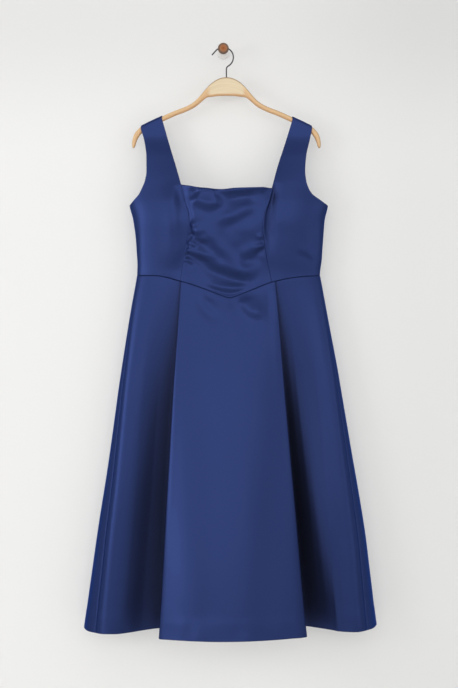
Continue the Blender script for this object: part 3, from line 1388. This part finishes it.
# radius as a share of the cap's, colour there
CAP_RINGS = (
    (0.00, (0.100, 0.034, 0.010)),
    (0.09, (0.180, 0.050, 0.010)),
    (0.17, (0.340, 0.092, 0.012)),
    (0.38, (0.330, 0.092, 0.016)),
    (0.58, (0.340, 0.150, 0.066)),
    (0.76, (0.170, 0.085, 0.045)),
    (0.95, (0.120, 0.062, 0.034)),
)
CAP_R = 12.5
RING_TURN = 90.0  # radians of the year rings over the radius of the cap


def make_cap_wood():
    material, tree, shader = new_material("oiled_cap_wood")
    place = object_place(tree)
    across = add_node(tree, "Mapping", {"Vector": place, "Scale": (1.0, 0.0, 1.0)}).outputs[0]
    wander = spots(tree, place, 120.0, 2.0)
    radius = add_node(tree, "VectorMath", {0: across}, operation="LENGTH").outputs["Value"]
    share = calculate(tree, "DIVIDE", radius, CAP_R * MM)
    share = calculate(tree, "ADD", share, ranged(tree, wander, -0.06, 0.06))
    ramp = add_node(tree, "ValToRGB", {0: share})
    stops = ramp.color_ramp.elements
    for k, (position, color) in enumerate(CAP_RINGS):
        stop = stops[k] if k < 2 else stops.new(position)
        stop.position, stop.color = position, (*color, 1.0)
    wave = calculate(tree, "SINE", calculate(tree, "MULTIPLY", share, RING_TURN))
    year = ranged(tree, wave, 0.42, 0.58, low_in=-1.0)
    color = mix_colors(tree, 0.6, ramp.outputs[0], year, "SOFT_LIGHT")
    inputs = {"Base Color": color, "Roughness": ranged(tree, wander, 0.36, 0.52)}
    finish(tree, shader, inputs, year, 0.2)
    return material


turn_piece("peg_foot", PEG_FOOT, make_peg_paint(), "peg_base")
turn_piece("peg_end_cap", PEG_CAP, make_cap_wood(), "peg_cap")

# %% [markdown]
# ## The concealed zip
#
# A concealed zip is sewn in so that only its pull shows. Behind the seam lies a narrow tape whose
# coil turns in to the body: two rows of nylon loops that lie between each other. The slider is a
# small drop of enamelled metal with two cheeks. A pin between them carries the pull, a thin tab
# whose top is bent round the pin, so that it swings up and down.

# %% The tape and its coil

COIL_PITCH = 1.6
COIL_STEPS = 5  # rows of points for each turn of the coil
COIL_HALF_WIDTH = 1.7
COIL_RISE = 0.35
TAPE_INSIDE = 1.9  # from the dress's face to the tape
TAPE_COLUMNS = (0.25, 0.9, 1.5, 1.9, 2.6, 3.5)  # out from the middle, on both sides

seam_top, seam_foot = curves[knots[back_seam], :3], curves[knots[back_seam], 3:6]
zip_low, zip_high = low("zip_chain", 2), high("zip_chain", 2)
z = np.linspace(zip_low, zip_high, round((zip_high - zip_low) / COIL_PITCH * COIL_STEPS))
x = np.array([-out for out in TAPE_COLUMNS[::-1]] + list(TAPE_COLUMNS))
z, x = np.meshgrid(z, x, indexing="ij")
skirt_share = np.clip((z - seam_foot[2]) / (seam_top[2] - seam_foot[2]), 0, 1)
on_skirt = mix(seam_foot[1], seam_top[1], skirt_share)
face_y = np.where(z > BACK_WAIST_Z, form_y(z, 1.0, False), on_skirt)
loops = np.sin(2.0 * math.pi * z / COIL_PITCH + np.sign(x) * math.pi / 2)
coil = COIL_RISE * loops * smoothstep(COIL_HALF_WIDTH + 0.3, COIL_HALF_WIDTH - 0.3, np.abs(x))
points = np.stack((DRESS_X + x, face_y - TAPE_INSIDE - coil, z), axis=-1)


def make_zip_tape():
    material, tree, shader = new_material("navy_zip_tape")
    checks = spots(tree, flat_place(tree, "cloth"), (1900.0, 1100.0, 1.0), 1.0)
    color = mix_colors(tree, checks, (0.014, 0.022, 0.075), (0.026, 0.042, 0.125))
    inputs = {"Base Color": color, "Roughness": ranged(tree, checks, 0.5, 0.7)}
    finish(tree, shader, inputs, checks, 0.3)
    return material


shell("zip_tape_and_coil", "zip_chain", points, 1, make_zip_tape())

# %% The slider

SLIDER_BASE = 1.2  # thickness of its plate
CHEEK = 0.8  # width of a cheek
CHEEK_LOW, CHEEK_HIGH = 1.0, 2.2  # from the plate's lower and upper end to the cheeks
CHEEK_TAPER = 0.7
FOOT_TAPER = 0.72  # width of the plate's lower end, as a share
PIN_R = 0.5
PIN_HEAD = 1.7  # radius of the pin's heads, as a share of its own
HEAD_RISE = 0.25  # of a head above the cheek
PIN_SET_BACK = 1.2  # from the tops of the cheeks to the pin
PIN_RISE = 2.8  # from the slider's lower end to the pin

(slider_left, slider_y, slider_low), (slider_right, slider_back, slider_high) = (
    Vector(corner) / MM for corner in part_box("zip_slider")
)
pin = Vector((middle("zip_slider", 0), slider_back - PIN_SET_BACK, slider_low + PIN_RISE))


def make_enamel():
    material, tree, shader = new_material("navy_enamel")
    place = object_place(tree)
    cloud, skin = spots(tree, place, 400.0, 3.0), spots(tree, place, 1500.0, 2.0)
    inputs = {
        "Base Color": mix_colors(tree, cloud, (0.020, 0.034, 0.115), (0.036, 0.060, 0.190)),
        "Roughness": ranged(tree, skin, 0.2, 0.34),
        "Coat Weight": 0.15,
        "Specular IOR Level": 0.35,
    }
    finish(tree, shader, inputs, skin, 0.1, 0.1)
    return material


def bevel_edges(piece, width, segments=3):
    """Rounds every edge sharper than 40 degrees."""
    bevel = piece.modifiers.new("soft edges", "BEVEL")
    bevel.width, bevel.segments, bevel.limit_method = width * MM, segments, "ANGLE"
    bevel.angle_limit = math.radians(40.0)
    bpy.ops.object.modifier_apply(modifier=bevel.name)


def resize_about(centre, size):
    bpy.ops.transform.resize(value=size, center_override=tuple(centre * MM))


def cut(axis, place):
    """Cuts new edges right across the open piece, at a place along an axis."""
    normal = Vector((axis == 0, 0.0, axis == 2))
    bpy.ops.mesh.select_all(action="SELECT")
    bpy.ops.mesh.bisect(plane_co=normal * place * MM, plane_no=normal)


enamel = make_enamel()
print(f"slider {slider_right - slider_left:.1f} x {slider_high - slider_low:.1f} mm")

# %% Shape its plate, its cheeks and its pin

slider = open_piece("zip_slider_body")
centre = Vector((pin.x, slider_y + SLIDER_BASE / 2, (slider_low + slider_high) / 2))
bpy.ops.mesh.primitive_cube_add(size=MM, location=centre * MM)
resize_about(centre, (slider_right - slider_left, SLIDER_BASE, slider_high - slider_low))
for x in (slider_left + CHEEK, slider_right - CHEEK):
    cut(0, x)
for z in (slider_low + CHEEK_LOW, slider_high - CHEEK_HIGH):
    cut(2, z)
bpy.ops.mesh.select_mode(type="FACE")
for x in (slider_left + CHEEK / 2, slider_right - CHEEK / 2):
    bpy.ops.mesh.select_all(action="DESELECT")
    bpy.ops.object.mode_set(mode="OBJECT")
    for polygon in slider.data.polygons:
        spot = polygon.center / MM
        inside = slider_low + CHEEK_LOW < spot.z < slider_high - CHEEK_HIGH
        polygon.select = inside and abs(spot.x - x) < 0.2 and polygon.normal.y > 0.9
    bpy.ops.object.mode_set(mode="EDIT")
    pull_end((0.0, slider_back - slider_y - SLIDER_BASE, 0.0), (1.0, 1.0, CHEEK_TAPER), pin)
bpy.ops.mesh.select_mode(type="VERT")
select_near(slider, lambda spot: spot.z < slider_low + 0.1)
resize_about(centre, (FOOT_TAPER, 1.0, 1.0))
bpy.ops.object.mode_set(mode="OBJECT")
bevel_edges(slider, 0.2)
bpy.ops.object.mode_set(mode="EDIT")
bpy.ops.mesh.select_all(action="DESELECT")
bpy.ops.mesh.primitive_circle_add(
    vertices=24,
    radius=PIN_HEAD * PIN_R * MM,
    fill_type="NGON",
    location=((slider_left - HEAD_RISE) * MM, pin.y * MM, pin.z * MM),
    rotation=(0.0, math.pi / 2, 0.0),
)
pull_end((HEAD_RISE, 0.0, 0.0))
pull_end((0.0, 0.0, 0.0), (1.0, 1.0 / PIN_HEAD, 1.0 / PIN_HEAD), pin)
pull_end((slider_right - slider_left, 0.0, 0.0))
pull_end((0.0, 0.0, 0.0), (1.0, PIN_HEAD, PIN_HEAD), pin)
pull_end((HEAD_RISE, 0.0, 0.0))
close_piece(slider, enamel, "dress", "zip_slider")

# %% The pull tab

EYE_R = 1.15  # from the pin to the middle of the tab's wall
EYE_TURN = -235.0  # degrees that the eye goes round the pin, up from behind it
TAB_WALL = 0.7

# drop below the pin, half width of the tab
TAB_OUTLINE = (
    (2.4, 1.7), (5, 1.6), (8, 1.5), (10.5, 1.65), (13, 2), (15.5, 2.5), (18, 2.85),
    (20, 2.95), (21.6, 2.8), (22.8, 2.3), (23.6, 1.6), (24, 0.7),
)

tab = open_piece("zip_pull_tab")
drop, half_width = TAB_OUTLINE[0]
neck_centre = pin + Vector((0.0, EYE_R, -drop / 2))
upright = (math.pi / 2, 0.0, 0.0)
bpy.ops.mesh.primitive_plane_add(size=MM, location=neck_centre * MM, rotation=upright)
resize_about(neck_centre, (2 * half_width, 1.0, drop))
cut(0, pin.x)
select_near(tab, lambda spot: spot.z > pin.z - 0.1)
turn = math.radians(EYE_TURN)
bpy.ops.mesh.spin(steps=20, angle=turn, center=tuple(pin * MM), axis=(1.0, 0.0, 0.0))
select_near(tab, lambda spot: spot.z < pin.z - drop + 0.1)
for next_drop, next_half_width in TAB_OUTLINE[1:]:
    pull_end((0.0, 0.0, drop - next_drop), (next_half_width / half_width, 1.0, 1.0), pin)
    drop, half_width = next_drop, next_half_width
bpy.ops.object.mode_set(mode="OBJECT")
thicken = tab.modifiers.new("wall", "SOLIDIFY")
thicken.thickness, thicken.offset = TAB_WALL * MM, 0.0
bpy.ops.object.modifier_apply(modifier=thicken.name)
bevel_edges(tab, 0.14, 2)
bpy.ops.object.mode_set(mode="EDIT")
close_piece(tab, enamel, "zip_pull", "zip_pull")

# %% [markdown]
# ## Camera, wall, floor and light
#
# The camera stands three metres off at half the dress's height and looks straight at the wall.
# The wall is pale, and it takes part only where it is seen from its front, so that the back of
# the dress can be looked at too. It glows a little of its own, because a pale wall in a bright
# room is lit from everywhere, and it is a little darker above and to the right. A wide soft lamp
# over the camera lights what faces it squarely, so a fold that tilts up or down goes dark. Two
# weaker ones, more on the left than on the right, and a bright room round them fill the sides.

# %% Camera

camera_data = bpy.data.cameras.new("camera")
camera_data.lens, camera_data.sensor_width = 68.3, 36.0
camera = bpy.data.objects.new("camera", camera_data)
bpy.context.scene.collection.objects.link(camera)
camera.location = (0.013, HANGER_Y * MM - 3.0, -0.677)
camera.rotation_euler = (math.pi / 2, 0.0, 0.0)
bpy.context.scene.camera = camera
bpy.context.scene.view_settings.view_transform = "Standard"
print("camera at", tuple(round(c, 3) for c in camera.location))

# %% Wall and floor

WALL_WHITE = (0.792, 0.792, 0.789)
WALL_GLOW = 0.4  # share of the glow in what the camera sees
GAIN_LOW, GAIN_HIGH, GAIN_HEIGHTS = 1.09, 0.985, (-0.25, 0.1)  # of the white, below and above
GAIN_RIGHT, RIGHT_AT = -0.10, 0.5  # what is added to it on the right
STAGE_SIZE = 12.0


def stage_plane(name, location, rotation, color):
    bpy.ops.object.select_all(action="DESELECT")
    bpy.ops.mesh.primitive_plane_add(size=STAGE_SIZE, location=location, rotation=rotation)
    plane = bpy.context.object
    plane.name = name
    material, tree, shader = new_material(name)
    feed(tree, shader, {"Base Color": (*color, 1.0), "Roughness": 0.9, "Specular IOR Level": 0.1})
    plane.data.materials.append(material)
    return plane, tree, shader


def light_wall(tree, shader):
    """Shades the wall's white, lets it glow, and leaves it out where it is seen from behind."""
    path = add_node(tree, "LightPath").outputs
    seen = calculate(tree, "MULTIPLY", path["Is Camera Ray"], WALL_GLOW)
    share = calculate(tree, "MAXIMUM", seen, path["Is Glossy Ray"])
    here = add_node(tree, "NewGeometry").outputs
    x, _, z = add_node(tree, "SeparateXYZ", {0: here["Position"]}).outputs
    soft = {"interpolation_type": "SMOOTHSTEP"}
    right = ranged(tree, x, 0.0, GAIN_RIGHT, 0.0, RIGHT_AT, **soft)
    above = ranged(tree, z, GAIN_LOW, GAIN_HIGH, *GAIN_HEIGHTS, **soft)
    scaled = {0: WALL_WHITE, "Scale": calculate(tree, "ADD", above, right)}
    white = add_node(tree, "VectorMath", scaled, operation="SCALE").outputs[0]
    feed(tree, shader, {"Base Color": white})
    glow = add_node(tree, "Emission", {"Color": white}).outputs[0]
    lit = add_node(tree, "MixShader", {0: share, 1: shader.outputs[0], 2: glow}).outputs[0]
    clear = add_node(tree, "BsdfTransparent").outputs[0]
    both = add_node(tree, "MixShader", {0: here["Backfacing"], 1: lit, 2: clear}).outputs[0]
    feed(tree, tree.nodes["Material Output"], {"Surface": both})


wall, tree, shader = stage_plane("wall", (0, 0.0004, -0.7), (math.pi / 2, 0, 0), (0.78, 0.78, 0.78))
light_wall(tree, shader)
wall.visible_shadow = wall.visible_transmission = False
print("the wall's material has", len(tree.nodes), "nodes")
stage_plane("floor", (0, -3.0, -1.80), (0, 0, 0), (0.78, 0.77, 0.76))

# %% Lamps and room

# name, place, width and height in metres, power
LAMPS = (
    ("front", (-0.1, -4.4, 0.35), (5.4, 2), 43),
    ("left", (-3, -2.4, -0.4), (1.4, 1.6), 26),
    ("right", (3.2, -2.6, -0.4), (2, 2), 11),
)
AIM = Vector((0.0, -0.05, -0.6))
ROOM_WHITE, ROOM_LIGHT = (1.0, 0.995, 0.97, 1.0), 0.72

for name, place, size, power in LAMPS:
    data = bpy.data.lights.new(name, "AREA")
    data.shape, data.energy = "ELLIPSE", power
    data.size, data.size_y = size
    lamp = bpy.data.objects.new(name, data)
    lamp.location = place
    lamp.rotation_euler = (AIM - Vector(place)).to_track_quat("-Z", "Y").to_euler()
    lamp.visible_camera = False
    bpy.context.scene.collection.objects.link(lamp)
world = bpy.data.worlds.new("studio")
bpy.context.scene.world = world
world.use_nodes = True
feed(world.node_tree, world.node_tree.nodes["Background"], {0: ROOM_WHITE, 1: ROOM_LIGHT})
print(len(LAMPS), "lamps,", sum(row[3] for row in LAMPS), "watts")
